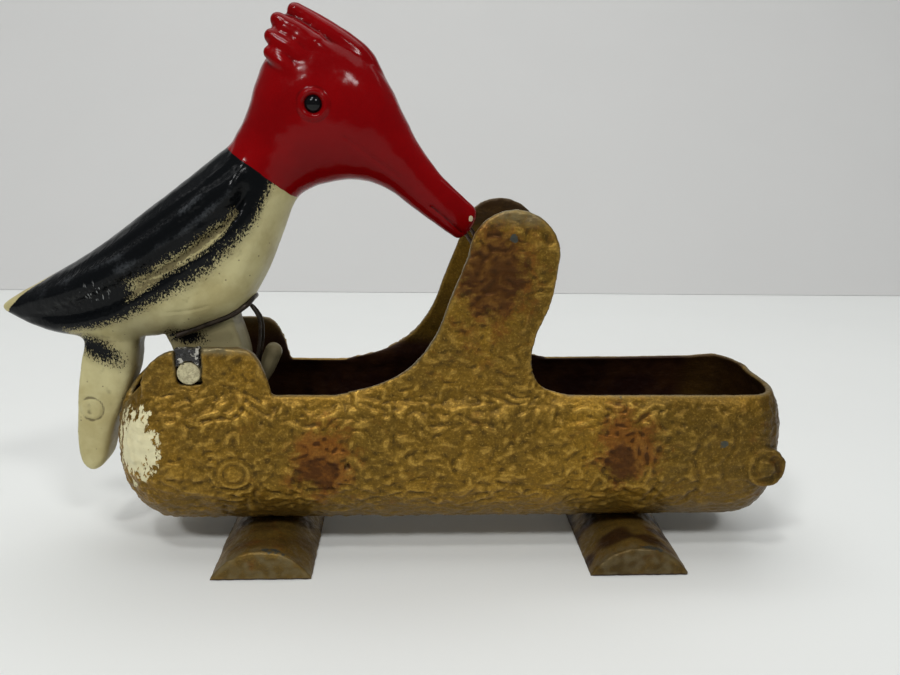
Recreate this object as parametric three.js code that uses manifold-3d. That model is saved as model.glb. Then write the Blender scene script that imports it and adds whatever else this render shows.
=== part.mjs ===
// A woodpecker cigarette dispenser in painted die-cast metal. A bird sits on a pivot at the left
// end of an open log. Pushed down, it dips its beak between two branch stubs, spears a cigarette
// lying in the log with two needles, and a wire spring lifts it back up.
//
// Millimetres. +X is the way the bird looks, +Z is up, and the feet stand on z = 0.

import * as THREE from 'three';
import { ParametricGeometry } from 'three/addons/geometries/ParametricGeometry.js';
import { mergeVertices } from 'three/addons/utils/BufferGeometryUtils.js';
import Module from 'manifold-3d';

const wasm = await Module();
wasm.setup();

// ---------------------------------------------------------------- driving dimensions

const fitGap = 0.3;

const pivot = { x: -47.8, z: 46.7 };
const axleRadius = 2.6;

const log = {
  straightFrom: -54.3,
  straightTo: 81.2,
  leftDome: 14.4,
  rightDome: 12.4,
  leftPower: 2,
  rightPower: 2.5,
  axisHeight: 25.1,
  halfWidth: 19.5,
  crownHeight: 22,
  crownPower: 3,
  wall: 2,
  rim: 41.4,
  leftLip: 45.5,
  seam: 39.6,
};

const ear = { inner: 14.4, outer: 16.4, top: 52.5, left: -58.7, right: -29.6 };
const slotWidth = 5.8;

const foot = { width: 23.6, height: 7.0, halfLength: 25.6 };
const footCentres = { left: -32.1, right: 56.2 };

const rivet = { shank: 1.6, headRadius: 3.2, headHeight: 2.1, tailRadius: 2.8 };

const hubHalfWidth = 5.6;
const bailWire = 0.7;
const springWire = 0.4;
const pinRadius = 0.45;
const eyeRadius = 2.4;

// ---------------------------------------------------------------- materials

function paint(colour, roughness, metalness) {
  return new THREE.MeshStandardMaterial({ color: colour, roughness, metalness });
}

const bronzePaint = paint(0x8a6a2a, 0.42, 0.55);
const creamEnamel = paint(0xd9d3b4, 0.35, 0.0);
const blackBead = paint(0x0a0a0a, 0.1, 0.0);
const blackLacquer = paint(0x17181a, 0.25, 0.0);
const darkSteel = paint(0x3a332e, 0.4, 0.9);
const steel = paint(0x8c8f92, 0.3, 1.0);

// ---------------------------------------------------------------- solid helpers

function toSolid(geometry) {
  const bare = geometry.index ? geometry.toNonIndexed() : geometry.clone();
  bare.deleteAttribute('normal');
  bare.deleteAttribute('uv');
  const merged = mergeVertices(bare, 1e-4);
  const position = merged.attributes.position;
  const corners = merged.index.array;
  const kept = [];
  let volume = 0;
  const [a, b, c] = [new THREE.Vector3(), new THREE.Vector3(), new THREE.Vector3()];
  for (let i = 0; i < corners.length; i += 3) {
    const [ia, ib, ic] = corners.slice(i, i + 3);
    if (ia === ib || ib === ic || ic === ia) continue;
    kept.push(ia, ib, ic);
    a.fromBufferAttribute(position, ia);
    b.fromBufferAttribute(position, ib);
    c.fromBufferAttribute(position, ic);
    volume += a.dot(b.cross(c));
  }
  if (volume < 0) kept.reverse();
  const mesh = new wasm.Mesh({
    numProp: 3,
    vertProperties: new Float32Array(position.array),
    triVerts: new Uint32Array(kept),
  });
  return new wasm.Manifold(mesh);
}

function toMesh(solid, name, material) {
  const { vertProperties, triVerts } = solid.getMesh();
  const geometry = new THREE.BufferGeometry();
  geometry.setAttribute('position', new THREE.BufferAttribute(vertProperties, 3));
  geometry.setIndex(new THREE.BufferAttribute(triVerts, 1));
  geometry.computeVertexNormals();
  const mesh = new THREE.Mesh(geometry, material);
  mesh.name = name;
  return mesh;
}

function joined(solids) {
  return solids.reduce((whole, piece) => whole.add(piece));
}

function box(x0, x1, y0, y1, z0, z1) {
  const geometry = new THREE.BoxGeometry(x1 - x0, y1 - y0, z1 - z0);
  geometry.translate((x0 + x1) / 2, (y0 + y1) / 2, (z0 + z1) / 2);
  return toSolid(geometry);
}

// An outline drawn in (x, z), given thickness from y0 to y1.
function plateAlongY(shape, y0, y1, bevel = 0) {
  const geometry = new THREE.ExtrudeGeometry(shape, {
    depth: y1 - y0 - 2 * bevel,
    curveSegments: 6,
    bevelEnabled: bevel > 0,
    bevelThickness: bevel,
    bevelSize: bevel,
    bevelOffset: -bevel,
    bevelSegments: 2,
  });
  geometry.rotateX(Math.PI / 2);
  geometry.translate(0, y1 - bevel, 0);
  return toSolid(geometry);
}

function barAlongY(radius, x, z, y0, y1, sides = 24) {
  const geometry = new THREE.CylinderGeometry(radius, radius, y1 - y0, sides);
  geometry.translate(x, (y0 + y1) / 2, z);
  return toSolid(geometry);
}

function wireGeometry(points, radius, steps, sides = 8) {
  const section = new THREE.Shape();
  section.absarc(0, 0, radius, 0, 2 * Math.PI);
  const path = new THREE.CatmullRomCurve3(points.map(([x, y, z]) => new THREE.Vector3(x, y, z)));
  return new THREE.ExtrudeGeometry(section, { steps, extrudePath: path, curveSegments: sides / 2 });
}

function wire(points, radius, steps) {
  return toSolid(wireGeometry(points, radius, steps));
}

function ball(radius, x, y, z, width = 20, height = 12) {
  const geometry = new THREE.SphereGeometry(radius, width, height);
  geometry.rotateX(Math.PI / 2);
  geometry.translate(x, y, z);
  return toSolid(geometry);
}

function bothSides(make) {
  return [-1, 1].map(make);
}

// ---------------------------------------------------------------- the log

// How far the section has shrunk at a step of the way round a domed end, as [reach, scale].
function domeStep(turn, power) {
  return [Math.cos(turn) ** (2 / power), Math.sin(turn) ** (2 / power)];
}

// Along the log: [x, scale] for t from 0 at the left tip to 1 at the right tip.
function logStation(t, inset) {
  const domeShare = 0.4;
  const from = log.straightFrom;
  const to = log.straightTo;
  if (t < domeShare) {
    const [reach, scale] = domeStep((t / domeShare) * (Math.PI / 2), log.leftPower);
    return [from - reach * (log.leftDome - inset), scale];
  }
  if (t > 1 - domeShare) {
    const [reach, scale] = domeStep(((1 - t) / domeShare) * (Math.PI / 2), log.rightPower);
    return [to + reach * (log.rightDome - inset), scale];
  }
  return [from + ((t - domeShare) / (1 - 2 * domeShare)) * (to - from), 1];
}

// The barrel of the log, drawn in by inset all round: a half circle below the axis, and a
// flatter, steeper-sided crown above it.
function barrel(inset) {
  const half = log.halfWidth - inset;
  const surface = (u, v, target) => {
    const [x, scale] = logStation(u, inset);
    const turn = v * 2 * Math.PI;
    const across = Math.cos(turn);
    const up = Math.sin(turn);
    const crownPower = 2 / log.crownPower;
    if (up < 1e-9) {
      target.set(x, half * scale * across, log.axisHeight + half * scale * Math.min(up, 0));
      return;
    }
    const y = half * Math.sign(across) * Math.abs(across) ** crownPower;
    target.set(x, y * scale, log.axisHeight + log.crownHeight * scale * up ** crownPower);
  };
  return toSolid(new ParametricGeometry(surface, 20, 44));
}

// Where the left dome's skin is on the centre plane, at a height z.
function leftDomeX(z) {
  const above = z > log.axisHeight;
  const scale = Math.abs(z - log.axisHeight) / (above ? log.crownHeight : log.halfWidth);
  return log.straightFrom - log.leftDome * Math.sqrt(1 - scale ** 2);
}

function earOutline() {
  const shape = new THREE.Shape();
  shape.moveTo(ear.left, log.seam);
  shape.lineTo(ear.left, 43);
  shape.bezierCurveTo(ear.left, 48, -55, 51, -50.7, 52);
  shape.lineTo(-45, ear.top);
  shape.lineTo(-36.4, ear.top);
  shape.bezierCurveTo(-32.6, ear.top, -31.2, 48, ear.right, log.rim);
  shape.lineTo(ear.right, log.seam);
  return shape;
}

function branchOutline() {
  const top = { x: 25, z: 73.9, radius: 10.2 };
  const point = (x, z) => new THREE.Vector2(x, z);
  const shape = new THREE.Shape();
  shape.moveTo(-15, log.seam);
  shape.lineTo(-15, log.rim);
  shape.splineThru([point(-5.2, 43.9), point(2.2, 48.2), point(7.6, 55.4), point(11.1, 64.5),
    point(top.x - top.radius, top.z)]);
  shape.absarc(top.x, top.z, top.radius, Math.PI, 0, true);
  shape.splineThru([point(33.6, 63.5), point(30.5, 55.5), point(29.8, 48.5), point(32.4, 43.4),
    point(38.5, log.rim)]);
  shape.lineTo(38.5, log.seam);
  return shape;
}

// A round-bottomed notch in the left end wall, beside each ear.
function endNotch(side) {
  const radius = 2.6;
  const centre = side * 9.4;
  const bottom = 38 + radius;
  const cut = box(-75, -52, centre - radius, centre + radius, bottom, 60);
  const round = new THREE.CylinderGeometry(radius, radius, 23, 16);
  round.rotateZ(Math.PI / 2);
  round.translate(-63.5, centre, bottom);
  return cut.add(toSolid(round));
}

// A sawn-off side branch on the near right corner: a low ring with a dome in it.
function knotBoss() {
  const centre = { x: 86.1, z: 24.6 };
  const ringTop = -20.4;
  const geometry = new THREE.LatheGeometry([
    new THREE.Vector2(0, -8),
    new THREE.Vector2(4.8, -8),
    new THREE.Vector2(4.8, -0.8),
    new THREE.Vector2(4.2, 0),
    new THREE.Vector2(3.4, -0.6),
    new THREE.Vector2(2.6, -0.6),
    new THREE.Vector2(1.8, 0.2),
    new THREE.Vector2(0, 0.5),
  ], 24);
  geometry.rotateX(Math.PI);
  geometry.translate(centre.x, ringTop, centre.z);
  return toSolid(geometry);
}

function rivetHole(x) {
  const geometry = new THREE.CylinderGeometry(rivet.shank + fitGap, rivet.shank + fitGap, 30, 20);
  geometry.rotateX(Math.PI / 2);
  geometry.translate(x, 0, 0);
  return toSolid(geometry);
}

function logBody() {
  const kept = joined([
    box(log.straightFrom, 110, -30, 30, -5, log.rim),
    box(-90, log.straightFrom, -30, 30, -5, log.leftLip),
  ]);
  const shell = barrel(0).intersect(kept);
  const slabs = bothSides((side) => {
    const [y0, y1] = side < 0 ? [-ear.outer, -ear.inner] : [ear.inner, ear.outer];
    return joined([plateAlongY(earOutline(), y0, y1), plateAlongY(branchOutline(), y0, y1)]);
  });
  const hollow = barrel(log.wall);
  const keptHollow = hollow.add(box(-52, 78, -ear.inner, ear.inner, log.rim - 1, 60));
  const slotFloor = pivot.z - axleRadius - fitGap;
  const slot = box(pivot.x - slotWidth / 2, pivot.x + slotWidth / 2, -20, 20, slotFloor, 60);
  const cuts = [slot, ...bothSides(endNotch), rivetHole(footCentres.left),
    rivetHole(footCentres.right)];
  return joined([shell, ...slabs, knotBoss()]).subtract(keptHollow).subtract(joined(cuts));
}

// ---------------------------------------------------------------- feet and rivets

// A half-round bar across the log, saddled to the log's belly.
function footBar(x) {
  const { width, height, halfLength } = foot;
  const radius = ((width / 2) ** 2 + height ** 2) / (2 * height);
  const reach = Math.asin(width / 2 / radius);
  const shape = new THREE.Shape();
  shape.absarc(x, height - radius, radius, Math.PI / 2 - reach, Math.PI / 2 + reach);
  shape.closePath();
  const geometry = new THREE.ExtrudeGeometry(shape, {
    depth: 2 * halfLength,
    curveSegments: 16,
    bevelEnabled: false,
  });
  geometry.rotateX(Math.PI / 2);
  geometry.translate(0, halfLength, 0);
  const saddle = barrel(-fitGap);
  const tailPocket = new THREE.CylinderGeometry(rivet.tailRadius + fitGap,
    rivet.tailRadius + fitGap, 4, 20);
  tailPocket.rotateX(Math.PI / 2);
  tailPocket.translate(x, 0, -0.4);
  return toSolid(geometry).subtract(saddle).subtract(rivetHole(x)).subtract(toSolid(tailPocket));
}

// A rivet from the floor of the trough, through the log, with its tail spread inside the foot.
function rivetBody(x, seat) {
  const { shank, headRadius, headHeight, tailRadius } = rivet;
  const geometry = new THREE.LatheGeometry([
    new THREE.Vector2(0, 0.4),
    new THREE.Vector2(tailRadius, 0.4),
    new THREE.Vector2(tailRadius, 1.2),
    new THREE.Vector2(shank, 1.25),
    new THREE.Vector2(shank, seat),
    new THREE.Vector2(headRadius, seat),
    new THREE.Vector2(headRadius * 0.85, seat + headHeight * 0.6),
    new THREE.Vector2(headRadius * 0.45, seat + headHeight * 0.92),
    new THREE.Vector2(0, seat + headHeight),
  ], 24);
  geometry.rotateX(Math.PI / 2);
  geometry.translate(x, 0, 0);
  return toSolid(geometry);
}

// ---------------------------------------------------------------- the bird, about its pivot

// The bird's side outline as pairs, one above and one below, from tail to beak:
// upper x, upper z, lower x, lower z, half width.
const birdStations = [
  [-46.4, 11.6, -46.4, 11.4, 0],
  [-45.2, 13.2, -44.9, 10.4, 2.6],
  [-38.0, 17.4, -39.5, 7.7, 5.2],
  [-28.7, 22.6, -30.0, 5.0, 7.6],
  [-19.3, 28.8, -19.0, 4.8, 9.6],
  [-10.0, 35.8, -9.0, 5.6, 11.0],
  [-1.0, 42.6, 1.5, 7.6, 11.8],
  [5.0, 47.2, 9.6, 11.4, 11.8],
  [8.6, 50.0, 14.6, 18.9, 11.2],
  [10.3, 52.7, 18.8, 28.0, 10.2],
  [11.8, 55.4, 22.8, 37.2, 9.2],
  [13.4, 59.2, 26.8, 40.4, 9.2],
  [15.0, 63.8, 30.9, 41.7, 9.7],
  [17.8, 69.3, 35.4, 42.4, 10.2],
  [24.5, 73.9, 39.3, 42.1, 10.2],
  [33.0, 73.6, 42.0, 41.3, 9.4],
  [40.5, 69.5, 45.0, 39.9, 8.2],
  [45.2, 63.0, 48.0, 37.8, 6.7],
  [48.2, 57.0, 51.5, 35.2, 5.5],
  [51.8, 50.4, 55.1, 32.7, 4.4],
  [57.0, 43.6, 58.6, 30.3, 3.5],
  [62.2, 38.7, 61.2, 29.0, 2.9],
  [65.0, 36.0, 63.6, 30.6, 2.2],
  [65.3, 33.4, 65.2, 33.2, 0],
];

// The body, neck, head and beak in one skin. The belly is fuller than a plain ellipse.
function castingSkin() {
  const edge = (x, z) => new THREE.CatmullRomCurve3(
    birdStations.map((row) => new THREE.Vector3(row[x], row[4], row[z])));
  const upper = edge(0, 1);
  const lower = edge(2, 3);
  const bellyEnd = 0.45;
  const surface = (u, v, target) => {
    const top = upper.getPoint(u);
    const bottom = lower.getPoint(u);
    const up = Math.cos(v * 2 * Math.PI);
    const across = Math.sin(v * 2 * Math.PI);
    const fullness = up < 0 && u < bellyEnd ? 0.8 * Math.sin((u / bellyEnd) * Math.PI) : 0;
    const power = 2 / (2 + fullness);
    const rise = (1 + Math.sign(up) * Math.abs(up) ** power) / 2;
    const width = u > 0 && u < 1 ? Math.max(top.y, 0) : 0;
    target.lerpVectors(bottom, top, u > 0 && u < 1 ? rise : 0.5);
    target.y = width * Math.sign(across) * Math.abs(across) ** power;
  };
  return toSolid(new ParametricGeometry(surface, 46, 20));
}

// One rounded tuft of the crest, from its root on the skull to its tip.
function crestTuft(root, tip, thickness, side) {
  const length = Math.hypot(tip[0] - root[0], tip[1] - root[1]);
  const geometry = new THREE.SphereGeometry(1, 12, 8);
  geometry.scale(length / 2, thickness, thickness);
  geometry.rotateY(-Math.atan2(tip[1] - root[1], tip[0] - root[0]));
  geometry.translate((root[0] + tip[0]) / 2, side, (root[1] + tip[1]) / 2);
  return toSolid(geometry);
}

function crest() {
  return joined([
    crestTuft([41, 68], [20.6, 80.6], 3.4, 0),
    ...bothSides((side) => crestTuft([35, 71], [18.0, 77.2], 2.8, side * 2.6)),
    ...bothSides((side) => crestTuft([30, 70.5], [16.6, 73.6], 2.7, side * 4)),
    ...bothSides((side) => crestTuft([26, 68], [16.6, 69.6], 2.6, side * 5)),
  ]);
}

function legBlock() {
  const boss = axleRadius + 3.3;
  const shape = new THREE.Shape();
  shape.moveTo(-12, 12);
  shape.quadraticCurveTo(-boss - 0.4, 5, -boss, 0);
  shape.absarc(0, 0, boss, Math.PI, 1.5 * Math.PI);
  shape.lineTo(7, -boss);
  shape.quadraticCurveTo(10.6, -boss, 10.4, 0);
  shape.quadraticCurveTo(9.9, 4.5, 8.4, 7.8);
  shape.lineTo(7.6, 12);
  return plateAlongY(shape, -hubHalfWidth, hubHalfWidth, 1);
}

// The tail prop: a rounded paddle that hangs behind the log, and rests on its domed end.
function tailProp() {
  const restGap = 0.35;
  const restHeight = 38.7;
  const rest = new THREE.Vector2(leftDomeX(restHeight) - restGap - pivot.x, restHeight - pivot.z);
  const shape = new THREE.Shape();
  shape.moveTo(-26, 12);
  shape.lineTo(-27.6, 3.4);
  shape.splineThru([
    new THREE.Vector2(-29.8, -7.5),
    new THREE.Vector2(-31.1, -18.5),
    new THREE.Vector2(-30.9, -25.9),
    new THREE.Vector2(-28.4, -29.1),
    new THREE.Vector2(-25.0, -26.3),
    new THREE.Vector2(-22.5, -17.8),
    rest,
    new THREE.Vector2(-16.2, -3.0),
    new THREE.Vector2(-15.4, 2.5),
  ]);
  shape.lineTo(-12.5, 12);
  return plateAlongY(shape, -5, 5, 1);
}

// A hooked toe on the far side of the leg block, inside the far ear.
function toe() {
  const radius = 2.3;
  const side = 5.8;
  const path = [[1, 3.4, -2], [6, 4.6, -8], [10.2, side, -9], [13.3, side, -5.4], [15.4, side, -0.9]];
  const [x, y, z] = path[path.length - 1];
  return wire(path, radius, 14).add(ball(radius, x, y, z, 12, 8));
}

// The needles leave the beak together, one above the other.
const needle = { from: [60.0, 35.9], angle: -56 * (Math.PI / 180), length: 12.6, spread: 0.8 };

function needleBody(offset, radius, length) {
  const geometry = new THREE.CylinderGeometry(radius, radius, length, 10);
  geometry.translate(offset, length / 2, 0);
  geometry.rotateX(Math.PI / 2);
  geometry.rotateY(Math.PI / 2 - needle.angle);
  geometry.translate(needle.from[0], 0, needle.from[1]);
  return toSolid(geometry);
}

function needleWithPoint(offset) {
  const tipLength = 2;
  const shaft = needle.length - tipLength;
  const geometry = new THREE.LatheGeometry([
    new THREE.Vector2(0, 0),
    new THREE.Vector2(pinRadius, 0),
    new THREE.Vector2(pinRadius, shaft),
    new THREE.Vector2(0, shaft + tipLength),
  ], 10);
  geometry.translate(offset, 0, 0);
  geometry.rotateX(Math.PI / 2);
  geometry.rotateY(Math.PI / 2 - needle.angle);
  geometry.translate(needle.from[0], 0, needle.from[1]);
  return toSolid(geometry);
}

const eye = { x: 28.6, z: 58.9, side: 8.3 };

// The stiff wire bail: along the corner between leg block and belly on one side, round the front
// of the breast and back along the other side.
const bailHalf = [
  [-4.8, 6.6, 6.2],
  [1.5, 6.6, 8.7],
  [6.5, 6.6, 10.6],
  [9.3, 6.4, 12.0],
  [11.5, 4.8, 13.5],
  [12.3, 1.8, 14.5],
];

function bailPath() {
  const near = bailHalf.map(([x, y, z]) => [x, -y, z]);
  const far = bailHalf.map(([x, y, z]) => [x, y, z]).reverse();
  return [...near, ...far];
}

function birdCasting() {
  const solid = joined([castingSkin(), crest(), legBlock(), tailProp(), toe()]);
  const cuts = [
    barAlongY(axleRadius + fitGap, 0, 0, -20, 20),
    wire(bailPath(), bailWire + fitGap, 40),
    needleBody(-needle.spread, pinRadius + fitGap, 20),
    needleBody(needle.spread, pinRadius + fitGap, 20),
    ...bothSides((side) => ball(eyeRadius + fitGap, eye.x, side * eye.side, eye.z)),
  ];
  return solid.subtract(joined(cuts));
}

// ---------------------------------------------------------------- keepers and spring

// A plug of hard black filler that closes the top of an axle slot.
function axleKeeper(side) {
  const half = slotWidth / 2 - fitGap;
  const [y0, y1] = side < 0 ? [-ear.outer, -ear.inner] : [ear.inner, ear.outer];
  const plug = box(pivot.x - half, pivot.x + half, y0, y1, pivot.z + 1.4, ear.top);
  return plug.subtract(barAlongY(axleRadius + fitGap, pivot.x, pivot.z, -20, 20));
}

// A hairpin of spring wire: its bight presses up under the bail, and its legs bow forward and run
// down inside the log to the left foot's rivet, under whose head they are trapped.
function springPath() {
  const legs = (side) => [
    [footCentres.left - 2.4, side * 1.2, 8.75],
    [footCentres.left - 4.0, side * 2.4, 9.0],
    [-37.0, side * 3.0, 12],
    [-37.3, side * 3.2, 22],
    [-37.1, side * 3.2, 32],
    [-35.8, side * 3.0, 42],
    [-34.4, side * 2.5, 49.7],
    [-34.1, side * 1.8, 53.9],
    [-34.5, side * 1.2, 56.3],
    [-35.5, side * 0.8, 58.0],
    [-36.3, side * 0.5, 59.0],
  ];
  return [...legs(-1), [-36.8, 0, 59.4], ...legs(1).reverse()];
}

// ---------------------------------------------------------------- assembly

const group = new THREE.Group();

group.add(toMesh(logBody(), 'log_body', bronzePaint));
group.add(toMesh(footBar(footCentres.left), 'left_foot', bronzePaint));
group.add(toMesh(footBar(footCentres.right), 'right_foot', bronzePaint));
group.add(toMesh(rivetBody(footCentres.left, 9.6), 'left_foot_rivet', steel));
group.add(toMesh(rivetBody(footCentres.right, 8.3), 'right_foot_rivet', steel));
group.add(toMesh(axleKeeper(-1), 'axle_keeper_front', blackLacquer));
group.add(toMesh(axleKeeper(1), 'axle_keeper_rear', blackLacquer));
group.add(toMesh(wire(springPath(), springWire, 76), 'return_spring', darkSteel));

const bird = new THREE.Group();
bird.position.set(pivot.x, 0, pivot.z);
bird.add(toMesh(birdCasting(), 'bird_casting', creamEnamel));
bird.add(toMesh(barAlongY(axleRadius, 0, 0, -ear.outer, ear.outer), 'pivot_axle', creamEnamel));
bird.add(toMesh(ball(eyeRadius, eye.x, -eye.side, eye.z), 'eye_bead_front', blackBead));
bird.add(toMesh(ball(eyeRadius, eye.x, eye.side, eye.z), 'eye_bead_rear', blackBead));
bird.add(toMesh(needleWithPoint(-needle.spread), 'beak_needle_lower', steel));
bird.add(toMesh(needleWithPoint(needle.spread), 'beak_needle_upper', steel));
bird.add(toMesh(wire(bailPath(), bailWire, 40), 'spring_bail', darkSteel));
group.add(bird);

export default group;
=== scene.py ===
import bpy
import bmesh
import itertools
import math
import numpy as np
from mathutils import Euler, Matrix, Vector
from mathutils.kdtree import KDTree


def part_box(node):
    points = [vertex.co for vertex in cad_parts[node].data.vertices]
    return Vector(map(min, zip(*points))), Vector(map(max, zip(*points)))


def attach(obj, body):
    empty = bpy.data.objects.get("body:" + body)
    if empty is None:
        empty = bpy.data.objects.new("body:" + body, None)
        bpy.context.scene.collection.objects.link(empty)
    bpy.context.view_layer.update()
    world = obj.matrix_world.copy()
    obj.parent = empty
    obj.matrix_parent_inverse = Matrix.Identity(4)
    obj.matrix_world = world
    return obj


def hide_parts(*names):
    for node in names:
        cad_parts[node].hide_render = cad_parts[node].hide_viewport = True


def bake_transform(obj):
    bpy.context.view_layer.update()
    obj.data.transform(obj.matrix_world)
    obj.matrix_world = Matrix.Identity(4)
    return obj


# A woodpecker dispenser in painted die-cast metal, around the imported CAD. Shapes are worked out in
# millimetres and written to the meshes in metres. "Near" is the side at negative y.

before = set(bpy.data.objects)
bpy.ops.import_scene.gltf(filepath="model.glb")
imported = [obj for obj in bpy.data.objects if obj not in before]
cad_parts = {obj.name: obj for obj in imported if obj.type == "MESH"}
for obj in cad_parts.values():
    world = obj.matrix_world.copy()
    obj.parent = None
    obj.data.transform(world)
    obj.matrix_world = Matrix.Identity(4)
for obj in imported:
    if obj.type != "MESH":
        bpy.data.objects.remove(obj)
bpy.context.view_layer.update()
scene = bpy.context.scene
MM = 0.001
# noise is turned by this, so that its grid doesn't line up with the object
TILT = Euler((0.5, 0.7, 0.9))


def middle(node):
    low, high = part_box(node)
    return np.array((low + high) / 2) / MM


def corners(node):
    low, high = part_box(node)
    return np.array(low) / MM, np.array(high) / MM


PIVOT = middle("pivot_axle") * (1, 0, 1)
EYE = middle("eye_bead_front") - PIVOT
# the log's long axis, and the rim of its trough
AXIS_HEIGHT = 25.1
RIM = 41.4

# ---------------------------------------------------------------- camera, light and stage


def make_camera():
    """The photo's viewpoint, as near as it could be fitted."""
    yaw, pitch, roll = (math.radians(a) for a in (3.17, 14.67, 1.03))
    place = Vector((0.00124, -0.19075, 0.1011))
    forward = Vector((math.sin(yaw) * math.cos(pitch), math.cos(yaw) * math.cos(pitch), -math.sin(pitch)))
    right = Vector((math.cos(yaw), -math.sin(yaw), 0))
    up = right.cross(forward)
    across = math.cos(roll) * right + math.sin(roll) * up
    over = math.cos(roll) * up - math.sin(roll) * right
    data = bpy.data.cameras.new("camera")
    data.sensor_width = 36
    data.lens = 32
    data.clip_start = 0.01
    camera = bpy.data.objects.new("camera", data)
    turned = Matrix((across, over, -forward)).transposed().to_4x4()
    turned.translation = place
    camera.matrix_world = turned
    scene.collection.objects.link(camera)
    scene.camera = camera


def make_light(name, place, target, size, power):
    data = bpy.data.lights.new(name, "AREA")
    data.shape = "RECTANGLE"
    data.size, data.size_y = size
    data.energy = power
    lamp = bpy.data.objects.new(name, data)
    lamp.location = place
    lamp.rotation_euler = (Vector(target) - Vector(place)).to_track_quat("-Z", "Y").to_euler()
    scene.collection.objects.link(lamp)


# ---------------------------------------------------------------- numbers


def smooth(low, high, value):
    t = np.clip((value - low) / (high - low), 0, 1)
    return t * t * (3 - 2 * t)


def bell(value, width):
    return np.exp(-((value / width) ** 2))


def noise(points, seed):
    """Gradient noise at (n, 3) points, from about -1 to 1."""
    random = np.random.RandomState(seed)
    table = random.permutation(256)
    slopes = random.normal(size=(256, 3))
    slopes /= np.linalg.norm(slopes, axis=1)[:, None]
    points = points @ np.array(TILT.to_matrix())
    cell = np.floor(points).astype(int)
    part = points - cell
    ease = part ** 3 * (part * (part * 6 - 15) + 10)
    total = np.zeros(len(points))
    for corner in itertools.product((0, 1), repeat=3):
        at = (cell + corner) & 255
        key = table[(table[(table[at[:, 0]] + at[:, 1]) & 255] + at[:, 2]) & 255]
        reach = ((part - corner) * slopes[key]).sum(1)
        total += np.prod(np.where(corner, ease, 1 - ease), axis=1) * reach
    return total * 1.6


def ridges(points, seed):
    return 1 - np.minimum(np.abs(noise(points, seed)) * 1.7, 1)


def line_distance(points, line):
    """How far each (n, 2) point is from a broken line."""
    best = np.full(len(points), 1e9)
    for start, end in zip(line[:-1], line[1:]):
        start, end = np.array(start, float), np.array(end, float)
        along = np.clip(((points - start) @ (end - start)) / ((end - start) @ (end - start)), 0, 1)
        best = np.minimum(best, np.linalg.norm(points - start - along[:, None] * (end - start), axis=1))
    return best


def spline(rows, t):
    """A smooth curve through the rows, for t from 0 to 1."""
    rows = np.array(rows, float)
    count = len(rows) - 1
    rows = np.vstack([2 * rows[0] - rows[1], rows, 2 * rows[-1] - rows[-2]])
    step = np.clip(t, 0, 1) * count
    index = np.minimum(step.astype(int), count - 1)
    f = (step - index)[..., None]
    a, b, c, d = (rows[index + k] for k in range(4))
    curve = (2 * a - 5 * b + 4 * c - d) * f ** 2 + (3 * b - a - 3 * c + d) * f ** 3
    return 0.5 * (2 * b + (c - a) * f + curve)


# ---------------------------------------------------------------- meshes


def grid_faces(rows, columns):
    """The quads of a grid whose columns close on themselves, with its two ends filled."""
    faces = []
    for i in range(rows - 1):
        for j in range(columns):
            k = (j + 1) % columns
            faces.append((i * columns + j, i * columns + k, (i + 1) * columns + k, (i + 1) * columns + j))
    faces.append(tuple(range(columns))[::-1])
    faces.append(tuple((rows - 1) * columns + j for j in range(columns)))
    return faces


def merged_mesh(name, shells):
    """One mesh from several (points, faces) shells."""
    points, faces = [], []
    for shell_points, shell_faces in shells:
        offset = len(points)
        points.extend(map(tuple, np.asarray(shell_points) * MM))
        faces.extend(tuple(k + offset for k in face) for face in shell_faces)
    mesh = bpy.data.meshes.new(name)
    mesh.from_pydata(points, [], faces)
    mesh.update()
    return mesh


def node_shell(node, cut_above=None):
    """A CAD node as (points, faces), cut off and closed at a height if one is given."""
    work = bmesh.new()
    work.from_mesh(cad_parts[node].data)
    bmesh.ops.remove_doubles(work, verts=work.verts, dist=1e-6)
    if cut_above is not None:
        everything = work.verts[:] + work.edges[:] + work.faces[:]
        bmesh.ops.bisect_plane(
            work, geom=everything, plane_co=(0, 0, cut_above * MM), plane_no=(0, 0, 1), clear_outer=True)
        bmesh.ops.holes_fill(work, edges=[e for e in work.edges if e.is_boundary])
    bmesh.ops.triangulate(work, faces=work.faces)
    points = np.array([v.co for v in work.verts]) / MM
    faces = [tuple(v.index for v in f.verts) for f in work.faces]
    work.free()
    return points, faces


def tube(path, radii, widen):
    """A round-ended finger along a path; widen stretches its section along y."""
    steps = sides = 24
    t = np.linspace(0, 1, steps)
    centre = spline(path, t)
    radius = spline(np.array(radii, float)[:, None], t)[:, 0]
    tangent = np.gradient(centre, axis=0)
    tangent /= np.linalg.norm(tangent, axis=1)[:, None]
    across = np.cross(tangent, (0.0, 1.0, 0.0))
    across /= np.linalg.norm(across, axis=1)[:, None]
    other = np.cross(across, tangent)
    rings = []
    cap = np.linspace(0, math.pi / 2, 7)[1:]
    for end, way in ((0, -1), (-1, 1)):
        part = [(centre[end] + way * math.cos(a) * radius[end] * tangent[end], math.sin(a) * radius[end], end)
                for a in cap]
        rings.append(part)
    body = [(centre[i], radius[i], i) for i in range(1, steps - 1)]
    chain = rings[0] + body + rings[1][::-1]
    turn = np.linspace(0, 2 * math.pi, sides, endpoint=False)
    points = []
    for place, reach, i in chain:
        for a in turn:
            points.append(place + reach * (math.cos(a) * across[i] + widen * math.sin(a) * other[i]))
    return np.array(points), grid_faces(len(chain), sides)


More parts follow.
